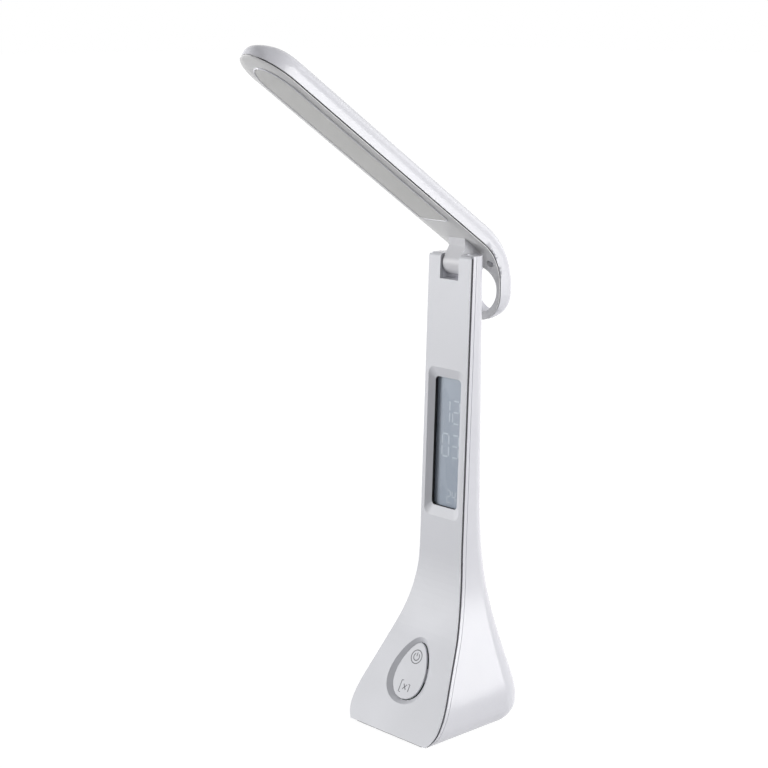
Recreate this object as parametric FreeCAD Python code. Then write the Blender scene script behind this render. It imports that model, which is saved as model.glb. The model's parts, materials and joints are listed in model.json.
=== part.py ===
import FreeCAD, Part
import math
import os

V = FreeCAD.Vector

# Folding desk lamp with a clock display. Millimetres, +Z up, front towards -Y.
# The origin is the middle of the foot's underside, on the table.

# Stand outline
stand_height = 280.0
column_width = 33.6
column_front_y = 4.7            # front face at the top of the column
column_rear_y = 22.7
column_lean = 2.16              # degrees that the column's front face leans back
base_width = 72.8
base_front_y = -45.6            # where the foot's front slope meets the table
base_rear_y = 44.7
base_front_slope = 29.6         # degrees from the vertical
front_blend_radius = 107.0
widest_height = 11.0            # the foot is widest at this height
corner_radius = 13.0            # below the widest height
shoulder_radius = 48.0          # above it
side_flank_angle = 16.4
side_blend_radius = 160.0
rear_flank_angle = 17.7
rear_blend_radius = 321.0
rear_roundness = 0.72           # depth of the rounded back over half the width
front_top_radius = 2.5
rear_top_radius = 6.0

# Stand shells
pad_thickness = 0.8
shell_wall = 2.2
panel_thickness = 2.4           # along Y
panel_seat = 0.1                # bond line between the panel and the frame
panel_skin = 0.9                # the panel's edge, in front of the side groove
panel_bottom_gap = 0.3          # panel above the frame's lower edge
frame_depth = 4.9               # along Y, from the front face
groove_depth = 1.4              # side groove between the panel's edge and the frame
parting_gap = 0.35
plate_thickness = 2.5
plate_gap = 0.2
pad_inset = 2.0

# Clearances
running_gap = 0.05              # radial, pin in bore
screw_gap = 0.05                # radial, screw in pilot hole
slip_gap = 0.3                  # between pieces that pass each other
seat_gap = 0.05                 # between stacked pieces

# Hinge
pivot_drop = 5.3                # pivot below the top of the column
pivot_setback = 8.1             # pivot behind the front face
knuckle_radius = 7.2
knuckle_width = 13.2
knuckle_floor_gap = 1.9
notch_width = 14.88
washer_thickness = 0.5
washer_radius = 5.5
pin_radius = 2.0
pin_length = 29.0
bush_wall = 1.2

# Arm
arm_angle = 34.2                # degrees above the horizontal, as the lamp stands
arm_reach = 197.5               # pivot to tip
arm_width = 31.4
parting_rise = 12.5             # pivot to the parting line of the two arm shells
upper_height = 12.4
lower_depth = 1.8
lower_side = 1.25
parting_groove = 0.8            # shadow line round the lower shell, under the upper one
parting_groove_depth = 1.3
lower_flat_width = 23.0
arm_edge_radius = 9.5
loop_edge_radius = 6.0
arm_wall = 2.0
nose_length = 24.0
bend_start = 2.6                # from the pivot, along the arm
bend_radius = 31.0
loop_turn = 55.8                # degrees from the arm down to the loop
loop_drop = 21.8
loop_end_length = 16.4
loop_hole_radius = 13.7
loop_hole_drop = 3.2            # hole centre below the start of the straight loop
gusset_reach = 3.4
gusset_rise = 3.6

# Lamp strip in the arm
strip_start = 31.5
strip_end = arm_reach - 10.5
strip_half_width = 10.8
strip_nose = 19.0
strip_corner = 3.0
strip_gap = 0.15
diffuser_proud = 0.45
diffuser_edge = 0.4             # chamfer round the diffuser
tray_rim = 1.6
tray_inner_rim = 0.9
tray_height = 4.0
led_board_thickness = 1.2
led_size = (2.8, 3.5, 0.8)
led_rows = 2
led_row_pitch = 8.0
led_pitch = 7.0
led_margin = 12.0               # strip length kept clear of LEDs

# Display
display_z = 0.6 * stand_height + 0.75
recess_width = 28.3
recess_height = 89.3
recess_corner = 5.0
window_width = 20.8
window_height = 77.6
window_corner = 2.5
bezel_depth = 2.0               # black lining between the panel and the window
window_rim = 0.9                # window edge hidden behind the recess
window_thickness = 0.5
lcd_thickness = 1.1
backlight_thickness = 0.8
display_board_thickness = 1.0
holder_wall = 1.2

# Rocker key on the foot
key_z = 35.0
dish_half_width = 15.6
dish_half_height = 20.6
key_half_width = 11.4
key_half_height = 17.4
egg_taper = 0.26
key_gap = 0.45
key_sink = 0.8                  # key face below the front panel's face
key_thickness = 0.9
nub_pitch = 20.0
nub_radius = 2.0
nub_length = 2.6
key_pin_depth = 4.9
key_pin_radius = 0.9
lug_width = 5.0
lug_height = 5.0
ear_width = 3.0
switch_size = 6.0
switch_height = 2.5
plunger_radius = 1.6
plunger_height = 0.95
plunger_gap = 0.65
board_thickness = 1.6
board_width = 40.0
board_height = 38.0
board_screw_inset = 3.5
standoff_radius = 2.4

# Rear keys
rear_key_z = 0.5 * stand_height + 12
rear_key_pitch = 14.0
rear_key_radius = 2.5
rear_key_proud = 0.6
rear_key_travel = 0.6
rear_flange_radius = 3.4
rear_flange_thickness = 1.2
rear_board_width = 16.0
rear_board_height = 58.0

# Charging inlet
socket_z = 18.0
socket_width = 9.0
socket_height = 3.4
socket_depth = 7.5
socket_wall = 0.5
charging_board_size = (16.0, 14.0, 1.2)

# Battery and ballast
cell_radius = 9.15
cell_length = 65.0
cell_y = 13.0
holder_height = 0.45 * stand_height - 100     # keeps the cell below the display
cup_wall = 1.6
cup_height = 20.0
ballast_size = (38.0, 40.0, 9.0)
ballast_y = 2.0

# Screws: shank radius, head radius, head thickness
base_screw = (1.4, 2.7, 1.5)
frame_screw = (1.2, 2.4, 1.3)
small_screw = (0.9, 1.8, 1.0)
arm_screw = (1.1, 2.0, 1.4)
boss_wall = 2.1
base_screw_insets = ((14.9, -24.0), (22.9, 26.5))   # from the foot's side, and along Y
base_screw_places = [(base_width / 2 - inset, y) for inset, y in base_screw_insets]
base_screw_length = 8.0
frame_screw_heights = (0.5 * stand_height - 24, 0.9 * stand_height - 10)   # below and above the display
frame_screw_x = 10.8
frame_pad = 2.0                 # frame thickened behind each screw
frame_screw_length = 9.0
arm_screw_x = 11.2
knuckle_screw_x = 3.6
knuckle_screw_s = 5.2           # from the pivot, along the arm
arm_screw_turn = 30.0           # degrees along the bend
arm_screw_sink = 1.0
arm_screw_length = 6.5

# Derived places
pivot_y = column_front_y + pivot_setback
pivot_z = stand_height - pivot_drop
notch_floor_z = pivot_z - knuckle_radius - knuckle_floor_gap
cavity_top_z = notch_floor_z - 3.6
lean = math.radians(column_lean)
slope = math.radians(base_front_slope)
plate_top_z = pad_thickness + plate_thickness
span = base_width               # half length of tools that cut right across
tall = 2 * stand_height


def box(x0, x1, y0, y1, z0, z1):
    return Part.makeBox(x1 - x0, y1 - y0, z1 - z0, V(x0, y0, z0))


def rod(start, axis, radius, length):
    return Part.makeCylinder(radius, length, start, axis)


def fused(shapes):
    whole = shapes[0]
    for shape in shapes[1:]:
        whole = whole.fuse(shape)
    return whole.removeSplitter()


def mirrored(shape):
    return shape.mirror(V(0, 0, 0), V(1, 0, 0))


def lofted(groups, wire):
    # one smooth loft per group of places; neighbouring groups share their end place
    return fused([Part.makeLoft([wire(place) for place in group], True, len(group) == 2)
                  for group in groups])


def oval_edge(centre, across, along, low, high):
    # part of an ellipse in a plane of constant Z, angles in degrees from +X
    angles = [math.radians(low + (high - low) * k / 12) for k in range(13)]
    points = [centre + V(across * math.cos(a), along * math.sin(a), 0) for a in angles]
    ends = [V(-across * math.sin(a), along * math.cos(a), 0) for a in (angles[0], angles[-1])]
    curve = Part.BSplineCurve()
    curve.interpolate(Points=points, InitialTangent=ends[0], FinalTangent=ends[1])
    return curve.toShape()


def polyline(points):
    return [Part.LineSegment(a, b).toShape() for a, b in zip(points, points[1:])]


# Outline of the stand

def blend_heights(column, widest, angle, blend, shoulder):
    # flank start, flank end and column start of a flared outline
    a = math.radians(angle)
    flank_x = widest - shoulder * (1 - math.cos(a))
    flank_z = widest_height + shoulder * math.sin(a)
    knee_z = flank_z + (flank_x - column) / math.tan(a)
    reach = blend * math.tan(a / 2)
    return flank_x, flank_z, knee_z - reach * math.cos(a), knee_z + reach


def flare(z, column, widest, angle, blend, inset):
    # straight column, blend arc, sloping flank, rounded shoulder and bottom corner
    column = column - inset
    widest = widest - inset
    corner = corner_radius - inset
    shoulder = shoulder_radius - inset
    blend = blend + inset
    flank_x, flank_z, flank_end, column_z = blend_heights(column, widest, angle, blend, shoulder)
    drop = widest_height - z
    if drop >= 0:
        return widest - corner + math.sqrt(max(corner ** 2 - drop ** 2, 0))
    if z <= flank_z:
        return widest - shoulder + math.sqrt(shoulder ** 2 - drop ** 2)
    if z <= flank_end:
        return flank_x - (z - flank_z) * math.tan(math.radians(angle))
    if z >= column_z:
        return column
    return column + blend - math.sqrt(blend ** 2 - (column_z - z) ** 2)


def half_width(z, inset=0.0):
    return flare(z, column_width / 2, base_width / 2, side_flank_angle, side_blend_radius, inset)


def rear_y(z, inset=0.0):
    return flare(z, column_rear_y, base_rear_y, rear_flank_angle, rear_blend_radius, inset)


def plan_wire(z, inset):
    # flat sides and a rounded back; the front stays open-ended far forward
    wide = half_width(z, inset)
    depth = rear_roundness * wide
    side_y = rear_y(z, inset) - depth
    front = base_front_y - span
    corners = [V(-wide, side_y, z), V(-wide, front, z), V(wide, front, z), V(wide, side_y, z)]
    back = oval_edge(V(0, side_y, z), wide, depth, 0, 180)
    return Part.Wire(polyline(corners) + [back])


def flared(inset, low, high):
    column_z = max(
        blend_heights(column_width / 2, base_width / 2, side_flank_angle, side_blend_radius,
                      shoulder_radius)[3],
        blend_heights(column_rear_y, base_rear_y, rear_flank_angle, rear_blend_radius,
                      shoulder_radius)[3])
    corner = [low + (widest_height - low) * k / 4 for k in range(5)]
    skirt = [widest_height + (column_z - widest_height) * k / 11 for k in range(12)]
    return lofted((corner, skirt, [column_z, high]), lambda z: plan_wire(z, inset))


def front_points():
    # blend arc between the leaning column face and the foot's slope: ends, middle, centre
    knee_z = (column_front_y - stand_height * math.tan(lean) - base_front_y) / (
        math.tan(slope) - math.tan(lean))
    knee = V(0, base_front_y + knee_z * math.tan(slope), knee_z)
    reach = front_blend_radius * math.tan((slope - lean) / 2)
    upper = knee + V(0, math.sin(lean), math.cos(lean)) * reach
    lower = knee - V(0, math.sin(slope), math.cos(slope)) * reach
    centre = upper + V(0, -math.cos(lean), math.sin(lean)) * front_blend_radius
    middle = centre + (knee - centre).normalize() * front_blend_radius
    return upper, middle, lower, centre


def front_y(z):
    upper, middle, lower, centre = front_points()
    if z >= upper.z:
        return column_front_y - (stand_height - z) * math.tan(lean)
    if z <= lower.z:
        return base_front_y + z * math.tan(slope)
    return centre.y + math.sqrt(front_blend_radius ** 2 - (z - centre.z) ** 2)


def behind(offset):
    # everything behind the front face moved back by offset
    upper, middle, lower, centre = front_points()
    bottom = V(0, base_front_y - span * math.tan(slope), -span)
    top = V(0, column_front_y + stand_height * math.tan(lean), tall)
    far = base_rear_y + span
    edges = polyline([bottom, lower]) + [Part.Arc(lower, middle, upper).toShape()]
    edges += polyline([upper, top, V(0, far, tall), V(0, far, -span), bottom])
    face = Part.Face(Part.Wire(edges))
    face.translate(V(-span, offset, 0))
    return face.extrude(V(2 * span, 0, 0))


def top_round(edge_y, radius, towards):
    # what rounding takes off the top edge at edge_y; towards is +1 at the rear, -1 in front
    centre_y = edge_y - towards * radius
    ys = sorted((centre_y, centre_y + towards * span))
    block = box(-span, span, ys[0], ys[1], stand_height - radius, tall)
    return block.cut(rod(V(-span, centre_y, stand_height - radius), V(1, 0, 0), radius, 2 * span))


def stand_body(inset, low):
    body = flared(inset, low, stand_height).common(behind(0))
    body = body.cut(top_round(front_y(stand_height - front_top_radius), front_top_radius, -1))
    return body.cut(top_round(column_rear_y, rear_top_radius, 1))


def on_face(shape, z, angle):
    # from a frame with X across, Y inwards and Z up the face to the front face at height z
    placed = shape.copy()
    turn = FreeCAD.Rotation(V(1, 0, 0), -math.degrees(angle))
    placed.Placement = FreeCAD.Placement(V(0, front_y(z), z), turn).multiply(placed.Placement)
    return placed


def on_column(shape):
    return on_face(shape, display_z, lean)


def on_foot(shape):
    return on_face(shape, key_z, slope)


def slab(width, height, corner, near, far):
    # upright plate with rounded corners, between two depths along Y
    plate = box(-width / 2, width / 2, near, far, -height / 2, height / 2)
    if corner > 0:
        upright = [e for e in plate.Edges if abs(e.tangentAt(e.FirstParameter).y) > 0.9]
        plate = plate.makeFillet(corner, upright)
    return plate


def slab_wire(width, height, corner, depth):
    faces = slab(width, height, corner, depth, depth + 1).Faces
    return min(faces, key=lambda f: f.CenterOfMass.y).OuterWire


def egg_wire(wide, high, depth):
    points = []
    for k in range(24):
        a = 2 * math.pi * k / 24
        x = wide * math.cos(a) * (1 - egg_taper * math.sin(a))
        points.append(V(x, depth, high * math.sin(a)))
    curve = Part.BSplineCurve()
    curve.interpolate(Points=points, PeriodicFlag=True)
    return Part.Wire(curve.toShape())


def egg_block(wide, high, near, far):
    return Part.Face(egg_wire(wide, high, near)).extrude(V(0, far - near, 0))


def screw(place, axis, kind, length):
    # place is the middle of the head's outer face, axis points from head to tip
    shank, head, thick = kind
    head_disc = rod(place, axis, head, thick)
    slot = Part.makeBox(head * 1.3, head * 0.3, thick * 0.5, V(-head * 0.65, -head * 0.15, 0))
    bar = slot.copy()
    bar.rotate(V(0, 0, 0), V(0, 0, 1), 90)
    cross = slot.fuse(bar)
    cross.Placement = FreeCAD.Placement(place, FreeCAD.Rotation(V(0, 0, 1), axis))
    return head_disc.fuse(rod(place, axis, shank, length + thick)).removeSplitter().cut(cross)


# Stand pieces

pin_line = V(1, 0, 0)
notch = box(-notch_width / 2, notch_width / 2, -span, span, notch_floor_z, tall)
panel_bottom_z = pad_thickness + panel_bottom_gap
face_seat = (panel_thickness + panel_seat) * math.cos(slope)    # square to the foot's slope
web_back = frame_depth * math.cos(slope)
column_seat = (panel_thickness + panel_seat) * math.cos(lean)
window_opening = (window_width + 2 * window_rim, window_height + 2 * window_rim)


def recess_tool():
    # the recess walls slope in from the face to the window's visible edge
    over = 1.0
    spread_x = (recess_width - window_width) / panel_thickness * over
    spread_z = (recess_height - window_height) / panel_thickness * over
    outer = slab_wire(recess_width + spread_x, recess_height + spread_z, recess_corner, -over)
    inner = slab_wire(window_width, window_height, window_corner, panel_thickness)
    back = slab(window_width, window_height, window_corner, panel_thickness - 0.01,
                panel_thickness + over)
    return Part.makeLoft([outer, inner], True, True).fuse(back)


def dish_tool():
    over = 1.0
    floor = face_seat
    spread = over / floor
    inner_wide = key_half_width + key_gap
    inner_high = key_half_height + key_gap
    outer = egg_wire(dish_half_width + (dish_half_width - inner_wide) * spread,
                     dish_half_height + (dish_half_height - inner_high) * spread, -over)
    inner = egg_wire(inner_wide, inner_high, floor)
    back = egg_block(inner_wide, inner_high, floor - 0.01, floor + over)
    return Part.makeLoft([outer, inner], True, True).fuse(back)


def make_front_panel():
    skin = stand_body(0, panel_bottom_z).cut(behind(panel_skin))
    core = stand_body(groove_depth, panel_bottom_z).cut(behind(panel_thickness))
    panel = fused([core, skin])
    return panel.cut(notch).cut(on_column(recess_tool())).cut(on_foot(dish_tool()))


def frame_screw_spots():
    return [(side * frame_screw_x, z) for z in frame_screw_heights for side in (-1, 1)]


def make_front_frame():
    frame = stand_body(0, pad_thickness).common(behind(panel_thickness + panel_seat))
    frame = frame.cut(behind(frame_depth)).cut(notch)
    # display opening
    frame = frame.cut(on_column(slab(window_opening[0] + 2 * slip_gap, window_opening[1] + 2 * slip_gap,
                                     0, -1, 2 * frame_depth)))
    # screw pads behind the web
    into = V(0, 1, 0)
    radius = frame_screw[1] + 1.2
    pads = [rod(V(x, front_y(z) + frame_depth - 0.6, z), into, radius, frame_pad + 0.6)
            for x, z in frame_screw_spots()]
    # posts for the main board and ears for the key's pin, square to the foot's slope
    posts = []
    for x, z in board_screw_spots():
        posts.append(on_foot(rod(V(x, web_back - 0.6, z), into, standoff_radius,
                                 board_depth - web_back + 0.6)))
    for side in (-1, 1):
        inner = side * (lug_width / 2 + slip_gap)
        xs = sorted((inner, inner + side * ear_width))
        ear = box(xs[0], xs[1], web_back - 0.6, key_pin_depth + 2 * key_pin_radius,
                  -lug_height / 2, lug_height / 2)
        posts.append(on_foot(ear))
    frame = fused([frame] + pads + posts)
    # holes
    holes = []
    for x, z in frame_screw_spots():
        seat = front_y(z) + frame_depth + frame_pad - frame_screw_web
        holes.append(rod(V(x, seat - 2 * frame_depth, z), into, frame_screw[1] + slip_gap, 2 * frame_depth))
        holes.append(rod(V(x, seat - 1, z), into, frame_screw[0] + slip_gap, frame_depth + 2))
    # room for the rocking ends of the key; a bridge stays across the middle for the ears
    room = egg_block(key_half_width + key_gap, key_half_height + key_gap, 0, web_back + 0.5)
    bridge = lug_height / 2 + 1.5
    holes.append(on_foot(room.cut(box(-span, span, -1, span, -bridge, bridge))))
    holes.append(on_foot(box(-lug_width / 2 - slip_gap, lug_width / 2 + slip_gap, 0, 2 * frame_depth,
                             -lug_height / 2 - 1, lug_height / 2 + 1)))
    reach = lug_width / 2 + slip_gap + ear_width
    holes.append(on_foot(rod(V(-reach - 1, key_pin_depth, 0), pin_line, key_pin_radius + screw_gap,
                             2 * reach + 2)))
    for x, z in board_screw_spots():
        holes.append(on_foot(rod(V(x, web_back + 0.4, z), into, small_screw[0] + screw_gap, board_depth)))
    for hole in holes:
        frame = frame.cut(hole)
    return frame


frame_screw_web = 2.0           # frame left under each screw head
frame_boss_gap = 0.1


def frame_boss_y(z):
    return front_y(z) + frame_depth + frame_pad + frame_boss_gap


def make_rear_shell():
    shell = stand_body(0, pad_thickness).common(behind(frame_depth + parting_gap))
    cavity = flared(shell_wall, pad_thickness - 0.4, stand_height)
    cavity = cavity.common(box(-span, span, -span, span, -span, cavity_top_z))
    shell = shell.cut(cavity)
    inside = flared(shell_wall / 2, pad_thickness, stand_height).common(behind(frame_depth + parting_gap))
    bosses = []
    radius = base_screw[0] + boss_wall
    for x, y in base_screw_places:
        post = rod(V(x, y, plate_top_z + seat_gap), V(0, 0, 1), radius, base_screw_length)
        rib = box(x, base_width, y - 1, y + 1, plate_top_z + seat_gap, plate_top_z + base_screw_length)
        bosses += [post.fuse(rib), mirrored(post.fuse(rib))]
    for x, z in frame_screw_spots():
        start = frame_boss_y(z)
        bosses.append(rod(V(x, start, z), V(0, 1, 0), frame_screw[0] + boss_wall, frame_screw_length))
        out = math.copysign(column_width / 2, x)
        xs = sorted((x, out))
        bosses.append(box(xs[0], xs[1], start, start + frame_screw_length, z - 1.2, z + 1.2))
    for z in rear_board_spots():
        bosses.append(rod(V(0, rear_board_y, z), V(0, 1, 0), standoff_radius, column_rear_y - rear_board_y))
    shell = fused([shell] + [b.common(inside) for b in bosses])
    holes = [notch]
    holes.append(rod(V(-pin_length / 2, pivot_y, pivot_z), pin_line, pin_radius + screw_gap, pin_length))
    for x, y in base_screw_places:
        hole = rod(V(x, y, 0), V(0, 0, 1), base_screw[0] + screw_gap, plate_top_z + base_screw_length - 1)
        holes += [hole, mirrored(hole)]
    for x, z in frame_screw_spots():
        holes.append(rod(V(x, frame_boss_y(z) - 1, z), V(0, 1, 0), frame_screw[0] + screw_gap,
                         frame_screw_length))
    for z in rear_board_spots():
        holes.append(rod(V(0, rear_board_y - 1, z), V(0, 1, 0), small_screw[0] + screw_gap, rear_post_hole))
    for z in rear_key_heights():
        holes.append(rod(V(0, column_rear_y - 2 * shell_wall, z), V(0, 1, 0),
                         rear_key_radius + slip_gap, 4 * shell_wall))
    wide = socket_width / 2 + slip_gap
    high = socket_height / 2 + slip_gap
    holes.append(box(-wide, wide, socket_back_y, base_rear_y + 1, socket_z - high, socket_z + high))
    for hole in holes:
        shell = shell.cut(hole)
    return shell


def plate_section(inset, low, high):
    face = Part.Face(plan_wire(pad_thickness, inset))
    prism = face.extrude(V(0, 0, high - low))
    prism.translate(V(0, 0, low - pad_thickness))
    return prism.common(behind(frame_depth + parting_gap + inset - shell_wall))


def make_base_plate():
    plate = plate_section(shell_wall + plate_gap, pad_thickness, plate_top_z)
    post_top = socket_z - socket_height / 2 - charging_board_size[2]
    posts = []
    for side in (-1, 1):
        posts.append(rod(V(side * charging_board_size[0] / 3, charging_board_y, plate_top_z - 0.5),
                         V(0, 0, 1), standoff_radius, post_top - plate_top_z + 0.5))
    plate = fused([plate] + posts)
    for x, y in base_screw_places:
        for side in (-1, 1):
            place = V(side * x, y, 0)
            up = V(0, 0, 1)
            plate = plate.cut(rod(place, up, base_screw[0] + slip_gap, plate_top_z + 1))
            plate = plate.cut(rod(place, up, base_screw[1] + slip_gap,
                                  pad_thickness + base_screw[2] + seat_gap))
    return plate


def make_base_pad():
    face = Part.Face(plan_wire(pad_thickness, pad_inset))
    return face.extrude(V(0, 0, -pad_thickness)).common(behind(pad_inset))


def make_base_screws():
    screws = []
    for x, y in base_screw_places:
        for side in (-1, 1):
            head = V(side * x, y, pad_thickness + seat_gap)
            screws.append(screw(head, V(0, 0, 1), base_screw, base_screw_length - 1))
    return Part.Compound(screws)


def make_ballast_weight():
    wide, deep, high = ballast_size
    block = box(-wide / 2, wide / 2, ballast_y - deep / 2, ballast_y + deep / 2, plate_top_z,
                plate_top_z + high)
    upright = [e for e in block.Edges if abs(e.tangentAt(e.FirstParameter).z) > 0.9]
    return block.makeFillet(4.0, upright)


def make_battery_holder():
    bottom = plate_top_z + ballast_size[2]
    outer = cell_radius + running_gap + cup_wall
    body = rod(V(0, cell_y, bottom), V(0, 0, 1), outer, holder_height + cup_height)
    bore = rod(V(0, cell_y, bottom + holder_height), V(0, 0, 1), cell_radius + running_gap, cup_height + 1)
    core = rod(V(0, cell_y, bottom - 1), V(0, 0, 1), cell_radius - 2, holder_height - 1)
    return body.cut(bore).cut(core)


def make_battery_cell():
    bottom = plate_top_z + ballast_size[2] + holder_height + seat_gap
    can = rod(V(0, cell_y, bottom), V(0, 0, 1), cell_radius, cell_length - 1.5)
    tip = rod(V(0, cell_y, bottom + cell_length - 1.5), V(0, 0, 1), cell_radius * 0.35, 1.5)
    return can.fuse(tip)


def make_frame_screws():
    screws = []
    for x, z in frame_screw_spots():
        seat = front_y(z) + frame_depth + frame_pad - frame_screw_web
        head = V(x, seat - frame_screw[2], z)
        screws.append(screw(head, V(0, 1, 0), frame_screw, frame_screw_length))
    return Part.Compound(screws)


# Display stack, square to the column's face

window_front = column_seat + bezel_depth + seat_gap
lcd_front = window_front + window_thickness + seat_gap
lcd_back = lcd_front + lcd_thickness + seat_gap
backlight_back = lcd_back + backlight_thickness + seat_gap
display_board_back = backlight_back + display_board_thickness + seat_gap


def make_display_bezel():
    # black lining of the opening between the front panel and the window
    wide, high = window_opening
    ring = slab(wide, high, window_corner, column_seat, column_seat + bezel_depth)
    return on_column(ring.cut(slab(window_width, window_height, window_corner, 0,
                                   column_seat + 2 * bezel_depth)))


def make_display_window():
    wide, high = window_opening
    return on_column(slab(wide, high, window_corner, window_front, window_front + window_thickness))


def make_lcd_panel():
    wide, high = window_opening
    return on_column(slab(wide, high, 0, lcd_front, lcd_front + lcd_thickness))


def make_lcd_backlight():
    wide, high = window_opening
    return on_column(slab(wide - 1, high - 1, 0, lcd_back, lcd_back + backlight_thickness))


def make_display_board():
    wide, high = window_opening
    return on_column(slab(wide, high + 4, 1.0, backlight_back, backlight_back + display_board_thickness))


def make_display_holder():
    # tray that clamps the stack against the back of the frame
    wide, high = window_opening
    front = frame_depth * math.cos(lean) + seat_gap
    back = display_board_back + holder_wall
    room_x = wide + 2 * slip_gap
    room_z = high + 4 + 2 * slip_gap
    tray = slab(room_x + 2 * holder_wall, room_z + 2 * holder_wall, 1.5, front, back)
    room = slab(room_x, room_z, 0, front - 1, display_board_back)
    return on_column(tray.cut(room))


# Rocker key and main board, square to the foot's slope

key_back = key_sink + key_thickness
plunger_top = key_back + nub_length + plunger_gap
board_depth = plunger_top + plunger_height + switch_height
board_screw_length = board_thickness + board_depth - web_back - 0.7


def board_screw_spots():
    x = board_width / 2 - board_screw_inset
    z = board_height / 2 - board_screw_inset
    return [(sx * x, sz * z) for sx in (-1, 1) for sz in (-1, 1)]


def make_key_plate():
    plate = egg_block(key_half_width, key_half_height, key_sink, key_back)
    rim = [e for e in plate.Edges if e.CenterOfMass.y < key_sink + key_thickness / 2 and e.isClosed()]
    plate = plate.makeFillet(key_thickness / 2, rim)
    into = V(0, 1, 0)
    nubs = [rod(V(0, key_back - 0.5, z), into, nub_radius, nub_length + 0.5)
            for z in (-nub_pitch / 2, nub_pitch / 2)]
    lug = box(-lug_width / 2, lug_width / 2, key_back - 0.5, key_pin_depth + 2 * key_pin_radius,
              -lug_height / 2, lug_height / 2)
    bore = rod(V(-lug_width, key_pin_depth, 0), pin_line, key_pin_radius + running_gap, 2 * lug_width)
    return on_foot(fused([plate] + nubs + [lug]).cut(bore))


def make_key_pin():
    reach = lug_width / 2 + slip_gap + ear_width
    return on_foot(rod(V(-reach, key_pin_depth, 0), pin_line, key_pin_radius, 2 * reach))


def make_main_board():
    board = slab(board_width, board_height, 1.5, board_depth, board_depth + board_thickness)
    for x, z in board_screw_spots():
        board = board.cut(rod(V(x, 0, z), V(0, 1, 0), small_screw[0] + screw_gap, 2 * board_depth))
    return on_foot(board)


def tact_switch(x, z, board_y, away):
    # body against the board at board_y, plunger pointing along away (+1 or -1 in Y)
    ys = sorted((board_y, board_y + away * switch_height))
    body = box(x - switch_size / 2, x + switch_size / 2, ys[0], ys[1], z - switch_size / 2,
               z + switch_size / 2)
    stem = rod(V(x, board_y, z), V(0, away, 0), plunger_radius, switch_height + plunger_height)
    return body.fuse(stem).removeSplitter()


def make_key_switches():
    return Part.Compound([on_foot(tact_switch(0, z, board_depth, -1))
                          for z in (-nub_pitch / 2, nub_pitch / 2)])


def make_board_screws():
    screws = []
    for x, z in board_screw_spots():
        head = V(x, board_depth + board_thickness + small_screw[2], z)
        screws.append(on_foot(screw(head, V(0, -1, 0), small_screw, board_screw_length)))
    return Part.Compound(screws)


def make_buzzer():
    radius = 5.5
    near = board_depth + board_thickness
    body = rod(V(0, near, 0), V(0, 1, 0), radius, 5)
    return on_foot(body.cut(rod(V(0, near + 4, 0), V(0, 1, 0), 1.0, 2)))


# Keys on the back

rear_key_inner = column_rear_y - shell_wall - 0.9       # outer face of the key's flange
rear_key_back = rear_key_inner - rear_flange_thickness
rear_plunger_y = rear_key_back - rear_key_travel - slip_gap
rear_board_y = rear_plunger_y - plunger_height - switch_height
rear_post_hole = 4.5


def rear_key_heights():
    return [rear_key_z + k * rear_key_pitch for k in (1, 0, -1)]


def rear_board_spots():
    reach = rear_board_height / 2 - 4
    return [rear_key_z - reach, rear_key_z + reach]


def make_rear_key(z):
    out = V(0, 1, 0)
    flange = rod(V(0, rear_key_back, z), out, rear_flange_radius, rear_flange_thickness)
    stem = rod(V(0, rear_key_back, z), out, rear_key_radius,
               column_rear_y + rear_key_proud - rear_key_back)
    rim = [e for e in stem.Edges if e.isClosed() and e.CenterOfMass.y > column_rear_y]
    return flange.fuse(stem.makeFillet(0.4, rim)).removeSplitter()


def make_rear_key_board():
    board = slab(rear_board_width, rear_board_height, 1.5, rear_board_y - board_thickness, rear_board_y)
    board.translate(V(0, 0, rear_key_z))
    for z in rear_board_spots():
        board = board.cut(rod(V(0, 0, z), V(0, 1, 0), small_screw[0] + screw_gap, column_rear_y))
    return board


def make_rear_key_switches():
    return Part.Compound([tact_switch(0, z, rear_board_y, 1) for z in rear_key_heights()])


def make_rear_board_screws():
    screws = []
    for z in rear_board_spots():
        head = V(0, rear_board_y - board_thickness - small_screw[2], z)
        screws.append(screw(head, V(0, 1, 0), small_screw, board_thickness + rear_post_hole - 1.5))
    return Part.Compound(screws)


# Charging inlet

socket_mouth_y = rear_y(socket_z) - 1.0
socket_back_y = socket_mouth_y - socket_depth
charging_board_y = socket_mouth_y - shell_wall - charging_board_size[1] / 2


def make_charging_socket():
    wide, high = socket_width / 2, socket_height / 2
    case = box(-wide, wide, socket_back_y, socket_mouth_y, socket_z - high, socket_z + high)
    case = case.makeFillet(high * 0.6, [e for e in case.Edges
                                        if abs(e.tangentAt(e.FirstParameter).y) > 0.9])
    inner_wide, inner_high = wide - socket_wall, high - socket_wall
    room = box(-inner_wide, inner_wide, socket_back_y + 1, socket_mouth_y + 1, socket_z - inner_high,
               socket_z + inner_high)
    tongue = box(-wide * 0.6, wide * 0.6, socket_back_y + 0.5, socket_mouth_y - 1, socket_z - 0.35,
                 socket_z + 0.35)
    return case.cut(room).fuse(tongue).removeSplitter()


def make_charging_board():
    wide, deep, thick = charging_board_size
    top = socket_z - socket_height / 2
    return box(-wide / 2, wide / 2, charging_board_y - deep / 2, charging_board_y + deep / 2, top - thick, top)


# Hinge

def make_hinge_pin():
    return rod(V(-pin_length / 2, pivot_y, pivot_z), pin_line, pin_radius, pin_length)


def make_hinge_washers():
    rings = []
    for side in (-1, 1):
        xs = sorted((side * notch_width / 2, side * (notch_width / 2 - washer_thickness)))
        start = V(xs[0], pivot_y, pivot_z)
        ring = rod(start, pin_line, washer_radius, washer_thickness)
        rings.append(ring.cut(rod(start, pin_line, pin_radius + running_gap, washer_thickness)))
    return Part.Compound(rings)


# Arm, drawn level with its tip towards -Y and its pivot at the origin, then turned to its rest angle

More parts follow.
